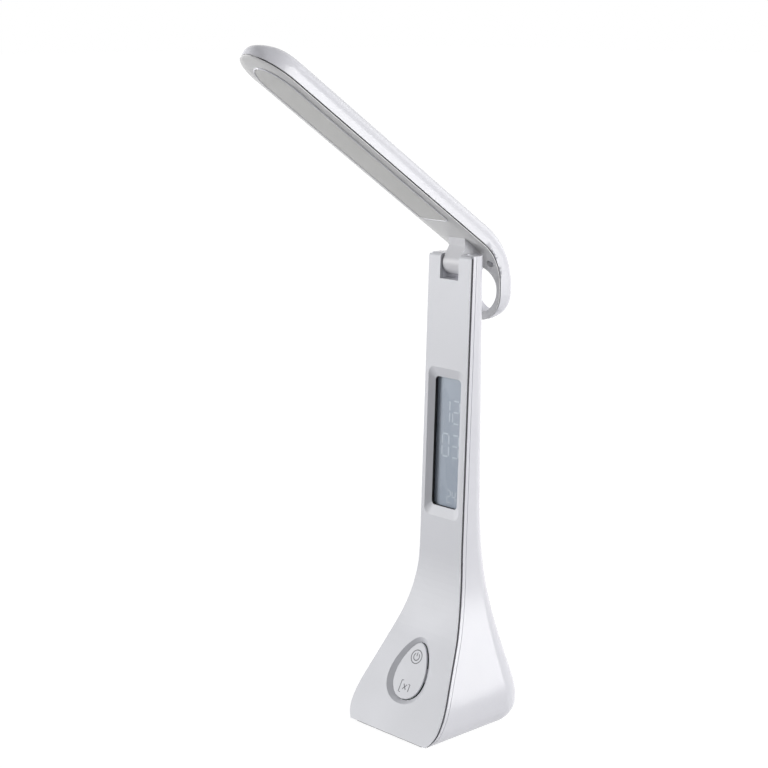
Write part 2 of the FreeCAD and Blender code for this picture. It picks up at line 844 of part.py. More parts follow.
bend_turn = math.radians(loop_turn)
bend_length = bend_radius * bend_turn
tip_mark = bend_start - arm_reach
end_mark = bend_length + loop_drop


def to_rest(shape):
    placed = shape.copy()
    turn = FreeCAD.Rotation(V(1, 0, 0), -arm_angle)
    placed.Placement = FreeCAD.Placement(V(0, pivot_y, pivot_z), turn).multiply(placed.Placement)
    return placed


def spine(mark):
    # point and outward normal of the parting line, at a length along it from the bend's start
    turn = min(max(mark / bend_radius, 0), bend_turn)
    point = V(0, -bend_start + bend_radius * math.sin(turn),
              parting_rise - bend_radius * (1 - math.cos(turn)))
    along = V(0, math.cos(turn), -math.sin(turn))
    return point + along * (mark - turn * bend_radius), V(0, math.sin(turn), math.cos(turn))


def taper(mark):
    # 1 along the arm, falling to 0 at the rounded tip and at the loop's end
    short = max((tip_mark + nose_length - mark) / nose_length,
                (mark - end_mark + loop_end_length) / loop_end_length, 0)
    return math.sqrt(max(1 - short ** 2, 0))


def arm_groups():
    round_off = [math.sin(math.radians(a)) for a in (87, 76, 62, 46, 30, 14, 0)]
    nose = [tip_mark + nose_length * (1 - c) for c in round_off]
    bend = [bend_length * k / 5 for k in range(6)]
    loop = [end_mark - loop_end_length * (1 - c) for c in reversed(round_off)]
    return nose, [nose[-1], 0], bend, [bend_length, loop[0]], loop


def upper_wire(mark, inset=0.0):
    point, up = spine(mark)
    scale = taper(mark)
    wide = arm_width / 2 * scale - inset
    high = upper_height * math.sqrt(scale) - inset
    share = min(max(mark / bend_length, 0), 1)
    radius = arm_edge_radius + (loop_edge_radius - arm_edge_radius) * share - inset / 2
    radius = min(radius, 0.9 * wide, 0.9 * high)
    nip = radius * (1 - math.sqrt(0.5))
    across = V(1, 0, 0)

    def at(x, h):
        return point + across * x + up * h

    edges = polyline([at(-wide, high - radius), at(-wide, 0), at(wide, 0), at(wide, high - radius)])
    edges.append(Part.Arc(at(wide, high - radius), at(wide - nip, high - nip),
                          at(wide - radius, high)).toShape())
    edges += polyline([at(wide - radius, high), at(-wide + radius, high)])
    edges.append(Part.Arc(at(-wide + radius, high), at(-wide + nip, high - nip),
                          at(-wide, high - radius)).toShape())
    return Part.Wire(edges)


def lower_wire(mark, extra=0.0):
    point, up = spine(mark)
    scale = taper(mark)
    wide = arm_width / 2 * scale
    flat = lower_flat_width / 2 * scale
    depth = lower_depth * scale ** 0.3 + extra
    side = lower_side * scale ** 0.3
    across = V(1, 0, 0)

    def at(x, h):
        return point + across * x + up * h

    step = parting_groove * scale ** 0.3
    inner = wide - parting_groove_depth * scale
    return Part.Wire(polyline([at(-inner, 0), at(inner, 0), at(inner, -step), at(wide, -step),
                               at(wide, -side), at(flat, -depth), at(-flat, -depth), at(-wide, -side),
                               at(-wide, -step), at(-inner, -step), at(-inner, 0)]))


def loop_hole():
    centre, up = spine(bend_length + loop_hole_drop)
    return rod(centre - up * span, up, loop_hole_radius, 2 * span)


def strip(half, start, end, nose, corner, low, high):
    # plate along the arm, square at the hinge end and oval at the tip end
    straight = end - nose
    corners = [V(-half, -straight, low), V(-half, -start, low), V(half, -start, low), V(half, -straight, low)]
    tip = oval_edge(V(0, -straight, low), half, -nose, 0, 180)
    plate = Part.Face(Part.Wire(polyline(corners) + [tip])).extrude(V(0, 0, high - low))
    upright = [e for e in plate.Edges
               if abs(e.tangentAt(e.FirstParameter).z) > 0.9 and abs(e.CenterOfMass.y + start) < 0.01]
    return plate.makeFillet(corner, upright)


def arm_screw_holes(kind_radius, low, high):
    holes = []
    point, up = spine(bend_radius * math.radians(arm_screw_turn))
    for side in (-1, 1):
        holes.append(rod(point + V(side * arm_screw_x, 0, 0) + up * low, up, kind_radius, high - low))
    return holes


led_face = parting_rise + tray_height
led_board_top = led_face + led_board_thickness
led_post_radius = 3.0
led_post_x = 0.0
led_screw_places = [strip_start + share * (strip_end - strip_start) for share in (0.106, 0.492, 0.852)]
led_columns = int((strip_end - strip_nose - strip_start - led_margin) / led_pitch) + 1


def make_arm_upper_shell():
    shell = lofted(arm_groups(), upper_wire)
    nose = [m for m in arm_groups()[0] if arm_width / 2 * taper(m) > 3 * arm_wall]
    shell = shell.cut(lofted((nose, [nose[-1], 0]), lambda m: upper_wire(m, arm_wall)))
    posts = [rod(V(led_post_x, -s, led_board_top + seat_gap), V(0, 0, 1), led_post_radius,
                 parting_rise + upper_height - arm_wall / 2 - led_board_top)
             for s in led_screw_places]
    shell = fused([shell] + posts)
    for s in led_screw_places:
        shell = shell.cut(rod(V(led_post_x, -s, led_face), V(0, 0, 1), small_screw[0] + screw_gap,
                              led_board_thickness + 4.0))
    shell = shell.cut(loop_hole())
    for hole in arm_screw_holes(arm_screw[1] + slip_gap, -1, arm_screw_sink + arm_screw[2]):
        shell = shell.cut(hole)
    for hole in arm_screw_holes(arm_screw[0] + screw_gap, 0, arm_screw_sink + arm_screw[2] + arm_screw_length):
        shell = shell.cut(hole)
    return to_rest(shell)


def knuckle_screw_spots():
    return [(-knuckle_screw_x, knuckle_screw_s), (knuckle_screw_x, knuckle_screw_s)]


def make_arm_lower_shell():
    shell = lofted(arm_groups(), lower_wire)
    gap = strip_gap
    opening = strip(strip_half_width + gap, strip_start - gap, strip_end + gap, strip_nose, strip_corner,
                    parting_rise - 2 * lower_depth, parting_rise + 1)
    shell = shell.cut(opening).cut(loop_hole())
    for hole in arm_screw_holes(arm_screw[1] + slip_gap, -2 * lower_depth, 1):
        shell = shell.cut(hole)
    for x, s in knuckle_screw_spots():
        shell = shell.cut(rod(V(x, -s, 0), V(0, 0, 1), frame_screw[0] + slip_gap, parting_rise + 1))
    return to_rest(shell)


def make_diffuser():
    low = parting_rise - lower_depth - diffuser_proud
    plate = strip(strip_half_width, strip_start, strip_end, strip_nose, strip_corner - strip_gap,
                  low, parting_rise - seat_gap)
    rim = [e for e in plate.Edges if abs(e.CenterOfMass.z - low) < 0.01]
    return to_rest(plate.makeChamfer(diffuser_edge, rim))


def make_reflector_tray():
    low, high = parting_rise, parting_rise + tray_height - seat_gap
    outer = strip(strip_half_width + tray_rim, strip_start - tray_rim, strip_end + tray_rim - 1,
                  strip_nose, strip_corner, low, high)
    inner = strip(strip_half_width - tray_inner_rim, strip_start + tray_inner_rim,
                  strip_end - tray_inner_rim, strip_nose, strip_corner, low - 1, high + 1)
    return to_rest(outer.cut(inner))


def make_led_board():
    board = strip(strip_half_width, strip_start + 0.5, strip_end - 1, strip_nose, strip_corner,
                  led_face, led_board_top)
    for s in led_screw_places:
        board = board.cut(rod(V(led_post_x, -s, led_face - 1), V(0, 0, 1), small_screw[0] + screw_gap, 4))
    return to_rest(board)


def make_leds():
    wide, long, thick = led_size
    first = (strip_start + strip_end - (led_columns - 1) * led_pitch) / 2 - 4
    chips = []
    for row in range(led_rows):
        x = (row - (led_rows - 1) / 2) * led_row_pitch
        for column in range(led_columns):
            s = first + column * led_pitch
            chips.append(box(x - wide / 2, x + wide / 2, -s - long / 2, -s + long / 2,
                             led_face - thick, led_face))
    return to_rest(Part.Compound(chips))


def make_led_board_screws():
    screws = []
    for s in led_screw_places:
        head = V(led_post_x, -s, led_face - small_screw[2])
        screws.append(screw(head, V(0, 0, 1), small_screw, led_board_thickness + 3.5))
    return to_rest(Part.Compound(screws))


def make_arm_screws():
    point, up = spine(bend_radius * math.radians(arm_screw_turn))
    screws = []
    for side in (-1, 1):
        head = point + V(side * arm_screw_x, 0, 0) + up * arm_screw_sink
        screws.append(screw(head, up, arm_screw, arm_screw_length - 0.5))
    return to_rest(Part.Compound(screws))


def make_hinge_knuckle():
    half = knuckle_width / 2
    barrel = rod(V(-half, 0, 0), pin_line, knuckle_radius, knuckle_width)
    neck = box(-half, half, -knuckle_radius, knuckle_radius, 0, parting_rise)
    top = parting_rise - lower_depth
    front = [V(-half, -knuckle_radius, top - gusset_rise), V(-half, -knuckle_radius - gusset_reach, top),
             V(-half, -knuckle_radius - gusset_reach, parting_rise), V(-half, 0, parting_rise),
             V(-half, 0, top - gusset_rise), V(-half, -knuckle_radius, top - gusset_rise)]
    gusset = Part.Face(Part.Wire(polyline(front))).extrude(V(knuckle_width, 0, 0))
    block = fused([barrel, neck, gusset])
    block = block.cut(lofted(arm_groups()[1:3], lambda m: lower_wire(m, seat_gap)))
    block = block.cut(box(-span, span, -span, span, parting_rise - seat_gap, tall))
    block = block.cut(rod(V(-span, 0, 0), pin_line, pin_radius + running_gap + bush_wall, 2 * span))
    for x, s in knuckle_screw_spots():
        block = block.cut(rod(V(x, -s, knuckle_screw_stop), V(0, 0, 1), frame_screw[0] + screw_gap, span))
    return to_rest(max(block.Solids, key=lambda solid: solid.Volume))


knuckle_screw_stop = 4.0


def make_hinge_bush():
    half = knuckle_width / 2
    inner = pin_radius + running_gap
    tube = rod(V(-half, 0, 0), pin_line, inner + bush_wall - screw_gap / 2, knuckle_width)
    return to_rest(tube.cut(rod(V(-half, 0, 0), pin_line, inner, knuckle_width)))


def make_knuckle_screws():
    screws = []
    for x, s in knuckle_screw_spots():
        head = V(x, -s, parting_rise + frame_screw[2])
        screws.append(screw(head, V(0, 0, -1), frame_screw, parting_rise - knuckle_screw_stop - 0.5))
    return to_rest(Part.Compound(screws))


nodes = {
    "front_panel": make_front_panel,
    "front_frame": make_front_frame,
    "rear_shell": make_rear_shell,
    "base_plate": make_base_plate,
    "base_pad": make_base_pad,
    "base_screws": make_base_screws,
    "ballast_weight": make_ballast_weight,
    "battery_holder": make_battery_holder,
    "battery_cell": make_battery_cell,
    "frame_screws": make_frame_screws,
    "display_bezel": make_display_bezel,
    "display_window": make_display_window,
    "lcd_panel": make_lcd_panel,
    "lcd_backlight": make_lcd_backlight,
    "display_board": make_display_board,
    "display_holder": make_display_holder,
    "key_plate": make_key_plate,
    "key_pin": make_key_pin,
    "main_board": make_main_board,
    "key_switches": make_key_switches,
    "board_screws": make_board_screws,
    "buzzer": make_buzzer,
    "rear_key_board": make_rear_key_board,
    "rear_key_switches": make_rear_key_switches,
    "rear_board_screws": make_rear_board_screws,
    "charging_socket": make_charging_socket,
    "charging_board": make_charging_board,
    "hinge_pin": make_hinge_pin,
    "hinge_washers": make_hinge_washers,
    "hinge_knuckle": make_hinge_knuckle,
    "hinge_bush": make_hinge_bush,
    "knuckle_screws": make_knuckle_screws,
    "arm_upper_shell": make_arm_upper_shell,
    "arm_lower_shell": make_arm_lower_shell,
    "arm_screws": make_arm_screws,
    "diffuser": make_diffuser,
    "reflector_tray": make_reflector_tray,
    "led_board": make_led_board,
    "leds": make_leds,
    "led_board_screws": make_led_board_screws,
}

os.makedirs("parts", exist_ok=True)
for name, make in nodes.items():
    shape = make()
    print(name, "solids", len(shape.Solids), "volume", round(shape.Volume, 1), "valid", shape.isValid())
    shape.exportStep("parts/" + name + ".step")
for name, z in zip(("set_key", "up_key", "down_key"), rear_key_heights()):
    make_rear_key(z).exportStep("parts/" + name + ".step")
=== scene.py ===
import bpy
import bmesh
import json
import math
from mathutils import Matrix, Vector


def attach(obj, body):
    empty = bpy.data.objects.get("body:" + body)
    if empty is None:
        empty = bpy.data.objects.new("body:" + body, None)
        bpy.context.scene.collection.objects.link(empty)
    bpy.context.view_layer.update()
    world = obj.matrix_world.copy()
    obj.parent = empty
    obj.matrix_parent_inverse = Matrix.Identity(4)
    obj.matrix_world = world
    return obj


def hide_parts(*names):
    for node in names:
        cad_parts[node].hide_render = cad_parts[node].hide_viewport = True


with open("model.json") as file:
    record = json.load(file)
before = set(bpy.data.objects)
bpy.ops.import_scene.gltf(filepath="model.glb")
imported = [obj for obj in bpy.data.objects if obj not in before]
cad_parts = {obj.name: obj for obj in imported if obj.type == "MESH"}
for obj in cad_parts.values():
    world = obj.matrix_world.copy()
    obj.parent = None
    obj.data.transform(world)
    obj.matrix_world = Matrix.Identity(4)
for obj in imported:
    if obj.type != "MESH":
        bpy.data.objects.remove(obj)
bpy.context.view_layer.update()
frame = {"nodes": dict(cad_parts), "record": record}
nodes = frame["nodes"]
bodyOf = {n: b for b, members in frame["record"]["behaviour"]["bodies"].items() for n in members}
slotOf = {s["node"]: s["material_slot"] for s in frame["record"]["subparts"]}
scene = bpy.context.scene
mm = 0.001
print("frame loaded:", len(nodes), "nodes")


def linear(hexColour):  # sRGB hex to linear RGBA
    parts = [int(hexColour[i:i + 2], 16) / 255 for i in (1, 3, 5)]
    return tuple(c / 12.92 if c <= 0.04045 else ((c + 0.055) / 1.055) ** 2.4 for c in parts) + (1.0,)


def add(tree, kind, settings=None, links=None):  # one node, its settings, and what feeds it
    node = tree.nodes.new(kind)
    for key, value in (settings or {}).items():
        if isinstance(key, str) and hasattr(node, key):
            setattr(node, key, value)
        else:
            node.inputs[key].default_value = value
    for key, source in (links or {}).items():
        tree.links.new(source, node.inputs[key])
    return node


mottleSpan = (0.3, 0.7)  # the middle of the noise's range, where most of its values lie


def finish(name, tones, rough, mottleMm, grainMm=0.0, grainDepth=0.0, stretch=(1, 1, 1), sockets=None):
    # tones: two hex colours that a soft mottle mixes; rough: low and high; sizes in millimetres
    material = bpy.data.materials.new(name)
    material.use_nodes = True
    tree = material.node_tree
    shader = tree.nodes["Principled BSDF"]
    place = add(tree, "ShaderNodeTexCoord")
    mapped = add(tree, "ShaderNodeMapping", {"Scale": stretch}, {"Vector": place.outputs["Object"]})
    mottle = add(tree, "ShaderNodeTexNoise", {"Scale": 1 / (mottleMm * mm), "Detail": 4.0},
                 {"Vector": mapped.outputs[0]})
    ramp = add(tree, "ShaderNodeValToRGB", None, {"Fac": mottle.outputs[0]})
    for element, position, tone in zip(ramp.color_ramp.elements, mottleSpan, tones):
        element.position = position
        element.color = linear(tone)
    gloss = add(tree, "ShaderNodeMapRange", {"From Min": mottleSpan[0], "From Max": mottleSpan[1],
                                             "To Min": rough[0], "To Max": rough[1]},
                {"Value": mottle.outputs[0]})
    tree.links.new(ramp.outputs[0], shader.inputs["Base Color"])
    tree.links.new(gloss.outputs[0], shader.inputs["Roughness"])
    if grainMm:
        grain = add(tree, "ShaderNodeTexNoise", {"Scale": 1 / (grainMm * mm), "Detail": 2.0},
                    {"Vector": mapped.outputs[0]})
        bump = add(tree, "ShaderNodeBump", {"Strength": 1.0, "Distance": grainDepth * mm},
                   {"Height": grain.outputs[0]})
        tree.links.new(bump.outputs[0], shader.inputs["Normal"])
    for key, value in (sockets or {}).items():
        shader.inputs[key].default_value = value
    return material


# ABS moulded in a polished tool: clear reflections, faint cool white, very slight waviness
glossAbs = finish("polished_white_abs", ("#ECECF2", "#EFEFF4"), (0.20, 0.26), 35, 14, 0.006,
                  sockets={"IOR": 1.53})
# the same ABS in two light greys with a softer gloss: the hinge block, and the arm's underside painted paler
# to make up for the shade under the arm
underLitAbs = finish("soft_gloss_abs_painted_paler", ("#E0E0E0", "#E5E5E4"), (0.26, 0.34), 30, 10, 0.006,
                  sockets={"IOR": 1.53, "Specular IOR Level": 0.2})
greyAbs = finish("soft_gloss_grey_abs", ("#D2D2D5", "#D7D7DA"), (0.30, 0.38), 30, 10, 0.006,
                 sockets={"IOR": 1.53, "Specular IOR Level": 0.2})
# ABS moulded in a fine spark-eroded tool: satin, grain drawn coarser than real so that it shows
satinAbs = finish("satin_grey_abs", ("#D2D3D8", "#D6D7DB"), (0.42, 0.52), 40, 0.7, 0.012,
                  sockets={"IOR": 1.53})
# opal polycarbonate sheet: soft sheen, light scatters inside
opalSheet = finish("opal_polycarbonate", ("#D4D4D2", "#D8D8D5"), (0.34, 0.42), 30, 1.2, 0.004,
                   sockets={"IOR": 1.58, "Specular IOR Level": 0.2, "Subsurface Weight": 0.2,
                            "Subsurface Radius": (0.004, 0.004, 0.004)})
# white polycarbonate of the lamp's tray, matt so that it spreads the light
whiteTray = finish("white_moulded_pc", ("#EDEDED", "#F2F2F2"), (0.45, 0.55), 20, 0.8, 0.01)
# acrylic window: polished, almost clear
clearWindow = finish("polished_acrylic", ("#F4F6F8", "#F8FAFC"), (0.03, 0.05), 30,
                     sockets={"IOR": 1.49, "Alpha": 0.08})
# reflective LCD: grey-blue polariser film; its faint vertical sheen is painted as paler vertical streaks in
# its colour, and its gloss varies along them
lcdFilm = finish("lcd_polariser_film", ("#8C9AAB", "#96A3B3"), (0.25, 0.32), 18, 0.6, 0.002, (1, 1, 0.25))
# acrylic plate that carries light behind the LCD
lightGuide = finish("polished_light_guide", ("#E4E8EA", "#EEF0F2"), (0.08, 0.14), 15, 1.5, 0.01)
# black ABS with a fine grain: holders, switches and the recess's lining
blackAbs = finish("black_moulded_abs", ("#101012", "#17171A"), (0.45, 0.6), 12, 0.6, 0.02)
# glass-epoxy board under solder mask: copper shows as a slightly lighter green
solderMask = finish("green_solder_mask", ("#1E5A33", "#2C7444"), (0.30, 0.42), 3.5, 1.8, 0.03, (1, 3, 1))
# silicone with phosphor, cast into each LED
ledYellow = finish("led_phosphor", ("#E9D66A", "#F3E68C"), (0.25, 0.35), 1.5, 0.5, 0.01)
# zinc-plated steel: turned marks run across the axis
zincSteel = finish("zinc_plated_steel", ("#A9ABAF", "#BDBFC3"), (0.24, 0.36), 2.5, 0.35, 0.006, (1, 1, 6),
                   {"Metallic": 1.0})
# brass bush, turned: marks run round it
turnedBrass = finish("turned_brass", ("#C49A4A", "#D1AA5C"), (0.22, 0.34), 2.0, 0.3, 0.006, (6, 1, 1),
                     {"Metallic": 1.0})
# rubber sheet of the foot's pad, pressed and matt
blackRubber = finish("pressed_rubber_sheet", ("#17171A", "#202024"), (0.75, 0.9), 6, 0.5, 0.05)
# plain ABS of the foot's floor, less polished than the shells
floorAbs = finish("moulded_white_abs", ("#DEDEE3", "#E4E4E8"), (0.35, 0.45), 25, 0.8, 0.015)
# ballast as cast in sand: dark and pitted
castIron = finish("sand_cast_iron", ("#38393B", "#4A4B4D"), (0.6, 0.8), 5, 0.8, 0.12,
                  sockets={"Metallic": 0.7})
# plastic sleeve shrunk over the cell's can
cellSleeve = finish("shrink_sleeve_blue", ("#2F6695", "#3A74A4"), (0.28, 0.4), 14, 2.5, 0.02)
# dark rubber-like beads in the two grooves: painted shade that darkens them
shadeBeadRubber = finish("dark_bead_painted_shade", ("#3A3A3E", "#424247"), (0.6, 0.75), 8, 0.4, 0.01)
# pad-printed ink of the key's symbols
greyInk = finish("grey_pad_print", ("#4A4B51", "#57585E"), (0.5, 0.6), 1.5, 0.2, 0.003)
# the LCD's electrodes, which show paler than the film
segmentTrace = finish("clear_electrode_trace", ("#BDC8D3", "#C6D0DA"), (0.2, 0.28), 5, 0.5, 0.002)
slotLook = {
    "gloss_white_plastic": glossAbs, "gloss_grey_plastic": greyAbs, "satin_grey_plastic": satinAbs,
    "milky_diffuser": opalSheet, "white_tray": whiteTray, "clear_window": clearWindow,
    "lcd_glass": lcdFilm, "light_guide": lightGuide, "black_plastic": blackAbs,
    "circuit_board": solderMask, "led_package": ledYellow, "screw_steel": zincSteel,
    "bush_brass": turnedBrass, "pad_rubber": blackRubber, "floor_plastic": floorAbs,
    "ballast_iron": castIron, "cell_can": cellSleeve,
}
look = {name: slotLook[slotOf[name]] for name in nodes}
look["arm_lower_shell"] = underLitAbs  # paler than the hinge block, which shares its slot: painted light that makes up for the shade under the arm
for name, node in nodes.items():
    node.data.materials.clear()
    node.data.materials.append(look[name])
print("materials:", len(bpy.data.materials))


def newPiece(name, mesh, body, material):
    piece = bpy.data.objects.new(name, mesh)
    scene.collection.objects.link(piece)
    mesh.materials.clear()
    mesh.materials.append(material)
    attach(piece, body)
    return piece


def plainMesh(carrier):  # the carrier's mesh with its modifiers applied; the carrier goes
    graph = bpy.context.evaluated_depsgraph_get()
    mesh = bpy.data.meshes.new_from_object(carrier.evaluated_get(graph))
    bpy.data.objects.remove(carrier)
    return mesh


arm = {  # the arm's parting line and the lamp strip's outline, from the pivot, as the solids have them
    "pivotY": 12.8, "pivotZ": 274.7, "angle": 34.2,
    "reach": 197.5, "half": 15.7, "rise": 12.5, "nose": 24.0,
    "bendStart": 2.6, "bend": 31.0, "turn": 55.8, "drop": 21.8, "loopEnd": 16.4,
    # the dark bead of painted shade in the parting groove: its inset, its drop and its radius
    "shadeBeadInset": 0.65, "shadeBeadDrop": 0.4, "shadeBeadRadius": 0.36,
    "stripHalf": 10.85, "stripStart": 31.45, "stripEnd": 187.05, "stripNose": 19.0, "stripCorner": 2.9,
    "rimHeight": 10.42, "rimRadius": 0.42,
    "easeLength": 17.0, "easeDown": 0.38,  # the tip's rounding, which is in the scene alone
    "roundSteps": 33, "sideSteps": 60, "cornerSteps": 7,
}


def armPlace(x, along, up):  # from the level arm to its rest angle; along points away from the tip
    a = math.radians(arm["angle"])
    return (x, arm["pivotY"] + along * math.cos(a) + up * math.sin(a),
            arm["pivotZ"] - along * math.sin(a) + up * math.cos(a))


def easeNose(mesh):  # the top of the arm rounds down to the tip
    a = math.radians(arm["angle"])
    for vertex in mesh.vertices:
        y, z = vertex.co.y / mm - arm["pivotY"], vertex.co.z / mm - arm["pivotZ"]
        along, up = y * math.cos(a) - z * math.sin(a), y * math.sin(a) + z * math.cos(a)
        share = (arm["easeLength"] - arm["reach"] - along) / arm["easeLength"]
        if share > 0 and up > arm["rise"]:
            bend = 1 - math.sqrt(1 - min(share, 1) ** 2)
            up -= (up - arm["rise"]) * arm["easeDown"] * bend
            vertex.co = Vector(armPlace(vertex.co.x / mm, along, up)) * mm


smoothed = {  # nodes whose curved faces show, and the angle in degrees above which an edge stays sharp
    "front_panel": 12, "front_frame": 16, "rear_shell": 20, "arm_upper_shell": 30, "arm_lower_shell": 24,
    "hinge_knuckle": 30, "key_plate": 30, "diffuser": 30, "base_pad": 30, "base_plate": 30,
    "set_key": 30, "up_key": 30, "down_key": 30,
}
shading = {"weldGap": 0.002, "flatWeight": 80}  # millimetres; how much large faces count in the normals
for name, angle in smoothed.items():  # the solid's mesh, welded, with smooth shading over its curves
    mesh = nodes[name].data.copy()
    weld = bmesh.new()
    weld.from_mesh(mesh)
    bmesh.ops.remove_doubles(weld, verts=weld.verts, dist=shading["weldGap"] * mm)
    weld.to_mesh(mesh)
    weld.free()
    if name == "arm_upper_shell":
        easeNose(mesh)
    if mesh.has_custom_normals:
        mesh.normals_split_custom_set([(0, 0, 0)] * len(mesh.loops))
    mesh.shade_smooth()
    mesh.set_sharp_from_angle(angle=math.radians(angle))
    carrier = bpy.data.objects.new(name + "_weld", mesh)
    scene.collection.objects.link(carrier)
    even = carrier.modifiers.new("even", "WEIGHTED_NORMAL")  # large flat faces stay flat to the eye
    even.keep_sharp = True
    even.weight = shading["flatWeight"]
    piece = newPiece(name + "_moulding", plainMesh(carrier), bodyOf[name], look[name])
    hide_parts(name)
print("smoothed shells:", len(smoothed))


def facePlace(y, z, leanDegrees, depth):  # X across, Y up the face, Z out of it
    lean = math.radians(leanDegrees)
    out = Vector((0, -math.cos(lean), math.sin(lean)))
    up = Vector((0, math.sin(lean), math.cos(lean)))
    origin = Vector((0, y, z)) - out * depth
    turn = Matrix((Vector((1, 0, 0)), up, out)).transposed().to_4x4()
    return Matrix.Translation(origin * mm) @ turn


def newTree(name, inputs):  # inputs: socket types by name
    tree = bpy.data.node_groups.new(name, "GeometryNodeTree")
    for label, kind in inputs.items():
        tree.interface.new_socket(label, in_out="INPUT", socket_type=kind)
    tree.interface.new_socket("Geometry", in_out="OUTPUT", socket_type="NodeSocketGeometry")
    return tree


def closeTree(tree, shape, material):
    real = add(tree, "GeometryNodeRealizeInstances", None, {0: shape})
    dressed = add(tree, "GeometryNodeSetMaterial", {"Material": material}, {"Geometry": real.outputs[0]})
    add(tree, "NodeGroupOutput", None, {"Geometry": dressed.outputs[0]})


def runTree(name, tree, mesh, inputs):  # gives a plain mesh
    carrier = bpy.data.objects.new(name + "_source", mesh)
    scene.collection.objects.link(carrier)
    modifier = carrier.modifiers.new("tree", "NODES")
    modifier.node_group = tree
    for item in tree.interface.items_tree:
        if item.in_out == "INPUT" and item.name in inputs:
            modifier[item.identifier] = inputs[item.name]
    result = plainMesh(carrier)
    result.name = name
    return result


def barTree(name, material):  # points carry "turn" and "stretch"; each gets a flat bar
    tree = newTree(name, {"Points": "NodeSocketGeometry", "Bar Width": "NodeSocketFloat",
                          "Bar Height": "NodeSocketFloat"})
    source = add(tree, "NodeGroupInput")
    size = add(tree, "ShaderNodeCombineXYZ", {"X": 1.0},
               {"Y": source.outputs["Bar Width"], "Z": source.outputs["Bar Height"]})
    bar = add(tree, "GeometryNodeMeshCube", None, {"Size": size.outputs[0]})
    turn = add(tree, "GeometryNodeInputNamedAttribute", {"data_type": "FLOAT_VECTOR", "Name": "turn"})
    stretch = add(tree, "GeometryNodeInputNamedAttribute", {"data_type": "FLOAT_VECTOR", "Name": "stretch"})
    onPoints = add(tree, "GeometryNodeInstanceOnPoints", None,
                   {"Points": source.outputs["Points"], "Instance": bar.outputs[0],
                    "Rotation": turn.outputs[0], "Scale": stretch.outputs[0]})
    closeTree(tree, onPoints.outputs[0], material)
    return tree


def pointMesh(name, points):  # points: place, turn and stretch
    mesh = bpy.data.meshes.new(name)
    mesh.from_pydata([p[0] for p in points], [], [])
    for key, which in (("turn", 1), ("stretch", 2)):
        field = mesh.attributes.new(key, "FLOAT_VECTOR", "POINT")
        for i, p in enumerate(points):
            field.data[i].vector = p[which]
    return mesh


display = {  # the LCD's digits, in millimetres from the middle of the display
    "faceY": 0.504, "z": 168.75, "lean": 2.16, "depth": 5.088,
    "width": 5.4, "height": 13.5, "bar": 0.9, "thick": 0.006,
    "trim": 1.5,  # how much shorter a bar is than its side of the digit, in bar widths
    "digits": ((-3.3, 18.4, "1"), (4.6, 18.4, "2"), (-3.3, -2.0, "0"), (4.6, -2.0, "3")),
    "smallWidth": 2.7, "smallHeight": 7.4, "smallBar": 0.5,
    "smallDigits": ((0.8, -32.5, "2"), (5.0, -32.5, "4")),
}
lit = {"0": "abcdef", "1": "bc", "2": "abged", "3": "abgcd", "4": "fgbc"}


def digitBars(x, z, digit, wide, high, bar):
    # each lit bar as a point in the display's plane, its turn and its length
    half, quarter = wide / 2, high / 4
    spots = {"a": (0, 2 * quarter, 0), "g": (0, 0, 0), "d": (0, -2 * quarter, 0), "b": (half, quarter, 90),
             "c": (half, -quarter, 90), "f": (-half, quarter, 90), "e": (-half, -quarter, 90)}
    bars = []
    for name in lit[digit]:
        dx, dz, turn = spots[name]
        long = (wide if turn == 0 else high / 2) - display["trim"] * bar
        bars.append((((x + dx) * mm, (z + dz) * mm, 0), (0, 0, math.radians(turn)), (long * mm, 1, 1)))
    return bars


segmentTree = barTree("lcd_segments", segmentTrace)
segmentMesh = bmesh.new()
barCount = 0
sets = [(display["digits"], display["width"], display["height"], display["bar"]),
        (display["smallDigits"], display["smallWidth"], display["smallHeight"], display["smallBar"])]
for digits, wide, high, bar in sets:
    points = [p for x, z, d in digits for p in digitBars(x, z, d, wide, high, bar)]
    barCount += len(points)
    part = runTree("segments", segmentTree, pointMesh("segment_points", points),
                   {"Bar Width": bar * mm, "Bar Height": display["thick"] * mm})
    segmentMesh.from_mesh(part)
    bpy.data.meshes.remove(part)
segments = bpy.data.meshes.new("lcd_segments")
segmentMesh.to_mesh(segments)
segmentMesh.free()
segments.transform(facePlace(display["faceY"], display["z"], display["lean"], display["depth"]))
newPiece("lcd_segments", segments, "stand", segmentTrace)
print("display segments:", barCount)


def arcPoints(x, y, radius, low, high, count):  # angles in degrees
    angles = [math.radians(low + (high - low) * i / (count - 1)) for i in range(count)]
    return [(x + radius * math.cos(a), y + radius * math.sin(a)) for a in angles]


symbols = {  # printed on the key plate, millimetres from its middle, angles in degrees
    "faceY": -25.717, "z": 35.0, "lean": 29.6, "depth": 0.79, "thick": 0.03, "line": 0.55,
    "power": (0.0, 8.6), "ring": 4.1, "ringSteps": 36,
    "arc": 2.2, "arcFrom": 125, "arcTo": 415, "arcSteps": 24, "stem": (0.4, 2.7),
    "mode": (-0.6, -10.4), "modeSize": 3.6, "leftHook": 1.4, "rightHook": 1.2, "rightShare": 0.6,
    "crossLeft": -1.2, "crossRight": 1.4, "crossHigh": 1.6,
}


def stroke(mesh, points, line, thick, closed):
    # flat ribbon with square ends along points in the XY plane
    count = len(points)
    rails = []
    for i, point in enumerate(points):
        before = points[(i - 1) % count] if closed or i else points[i]
        after = points[(i + 1) % count] if closed or i < count - 1 else points[i]
        along = (Vector(after) - Vector(before)).normalized()
        side = Vector((-along.y, along.x)) * line / 2
        rails.append([mesh.verts.new(((point[0] + s * side.x) * mm, (point[1] + s * side.y) * mm, h * mm))
                      for s, h in ((1, 0), (-1, 0), (-1, thick), (1, thick))])
    last = count if closed else count - 1
    for i in range(last):
        a, b = rails[i], rails[(i + 1) % count]
        for k in range(4):
            mesh.faces.new((a[k], a[(k + 1) % 4], b[(k + 1) % 4], b[k]))
    if not closed:
        mesh.faces.new(rails[0])
        mesh.faces.new(rails[-1])


